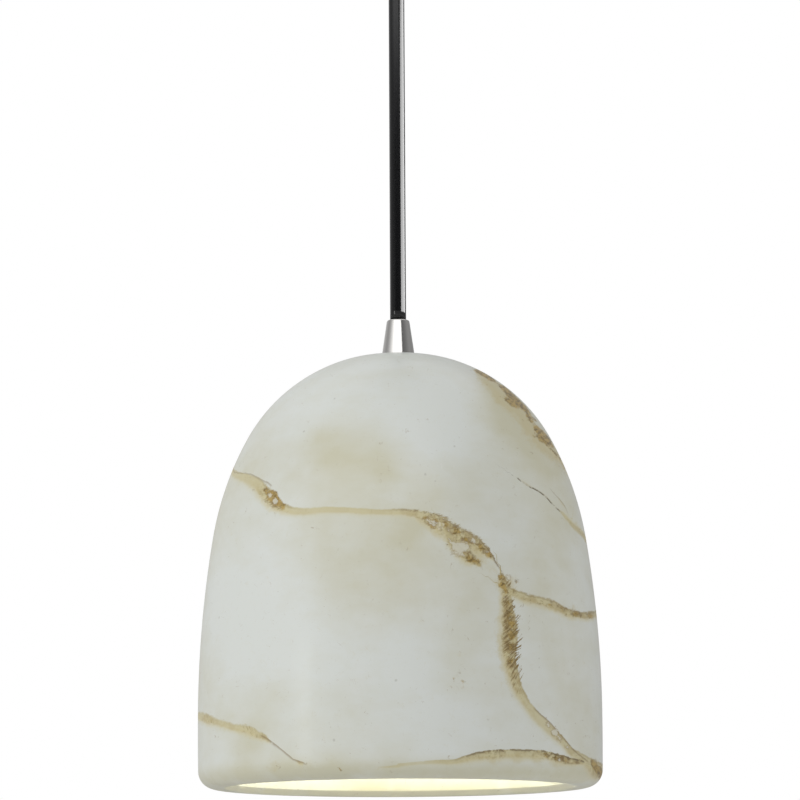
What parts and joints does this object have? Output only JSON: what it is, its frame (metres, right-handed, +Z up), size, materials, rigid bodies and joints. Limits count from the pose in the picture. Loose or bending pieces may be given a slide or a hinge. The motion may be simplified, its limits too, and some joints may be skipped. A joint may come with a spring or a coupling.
{
  "type": "bell pendant light",
  "caption": "Marble bell pendant light: turned stone shade on a black cord below a ceiling canopy, with a cone grip, porcelain screw socket and lit bulb.",
  "frame": {"origin": "centre of the ceiling plane, where the crossbar and the canopy rim meet the ceiling", "axes": "+Z up into the ceiling, along the cord; +X along the crossbar; the light hangs towards -Z"},
  "size_m": [0.197, 0.197, 0.4479],
  "materials": {
    "marble": "honed and waxed white marble with brown veins",
    "brushed_nickel": "satin nickel plate",
    "zinc_steel": "zinc plated steel",
    "tinned_copper": "tinned copper",
    "green_screw": "green earth screw",
    "connector_plastic": "orange moulded plastic",
    "black_insulation": "black conductor insulation",
    "white_insulation": "white conductor insulation",
    "green_insulation": "green conductor insulation",
    "nylon": "natural nylon",
    "fibre": "pressed fibre",
    "black_jacket": "smooth black cord jacket",
    "rubber": "black rubber",
    "porcelain": "white glazed porcelain",
    "brass": "stamped brass",
    "bulb_metal": "plated screw cap",
    "dark_glass": "dark insulating glass",
    "white_plastic": "white moulded plastic",
    "lit_globe": "frosted and lit",
    "board_metal": "white coated aluminium board",
    "led_phosphor": "yellow phosphor, lit",
    "board_green": "green circuit board",
    "dark_part": "dark moulded component"
  },
  "bodies": {
    "ceiling_fitting": {"canopy": "brushed_nickel", "crossbar": "zinc_steel", "canopy_studs": "zinc_steel", "canopy_cap_nuts": "brushed_nickel", "earth_screw": "green_screw", "earth_ring_top": "tinned_copper", "wire_cap_live": "connector_plastic", "wire_cap_neutral": "connector_plastic", "live_lead_top": "black_insulation", "neutral_lead_top": "white_insulation", "earth_lead_top": "green_insulation", "cord_grip_body": "brushed_nickel", "cord_grip_collet": "nylon", "cord_grip_nut": "brushed_nickel", "cord_grip_locknut": "zinc_steel", "cord_grip_washer": "zinc_steel", "cord_top_end": "black_jacket"},
    "cord": {"cord": "black_jacket"},
    "pendant": {"cord_low_end": "black_jacket", "cord_cone": "brushed_nickel", "cone_collet": "nylon", "cone_washer": "fibre", "nipple": "zinc_steel", "shade": "marble", "shade_gasket": "rubber", "clamp_washer": "zinc_steel", "shade_locknut": "zinc_steel", "socket_bracket": "zinc_steel", "hub_set_screw": "zinc_steel", "bracket_screws": "zinc_steel", "bracket_earth_screw": "green_screw", "socket_body": "porcelain", "socket_shell": "brass", "live_terminal": "brass", "neutral_terminal": "brass", "terminal_screws": "brass", "centre_contact": "brass", "live_lead_low": "black_insulation", "neutral_lead_low": "white_insulation", "earth_lead_low": "green_insulation"},
    "bulb_contact": {"bulb_tip": "bulb_metal"},
    "bulb": {"bulb_insulator": "dark_glass", "bulb_cap": "bulb_metal", "bulb_housing": "white_plastic", "bulb_globe": "lit_globe", "led_board": "board_metal", "leds": "led_phosphor", "driver_board": "board_green", "driver_parts": "dark_part"}
  },
  "joints": [
    {"name": "cord_swing", "type": "hinge", "parent": "ceiling_fitting", "child": "cord", "pos_m": [0, 0, -0.04], "axis": [0, 1, 0], "range_deg": [-30, 30]},
    {"name": "cord_twist", "type": "hinge", "parent": "cord", "child": "pendant", "pos_m": [0, 0, -0.216], "axis": [0, 0, 1], "range_deg": [-180, 180]},
    {"name": "bulb_travel", "type": "slide", "parent": "pendant", "child": "bulb_contact", "axis": [0, 0, -1], "range_m": [0, 0.01634]},
    {"name": "bulb_turn", "type": "hinge", "parent": "bulb_contact", "child": "bulb", "pos_m": [0, 0, -0.2916], "axis": [0, 0, -1], "range_deg": [0, 1620]}
  ],
  "couplings": [
    {"joint": "bulb_travel", "follows": "bulb_turn", "m_per_rad": 0.0005775}
  ]
}
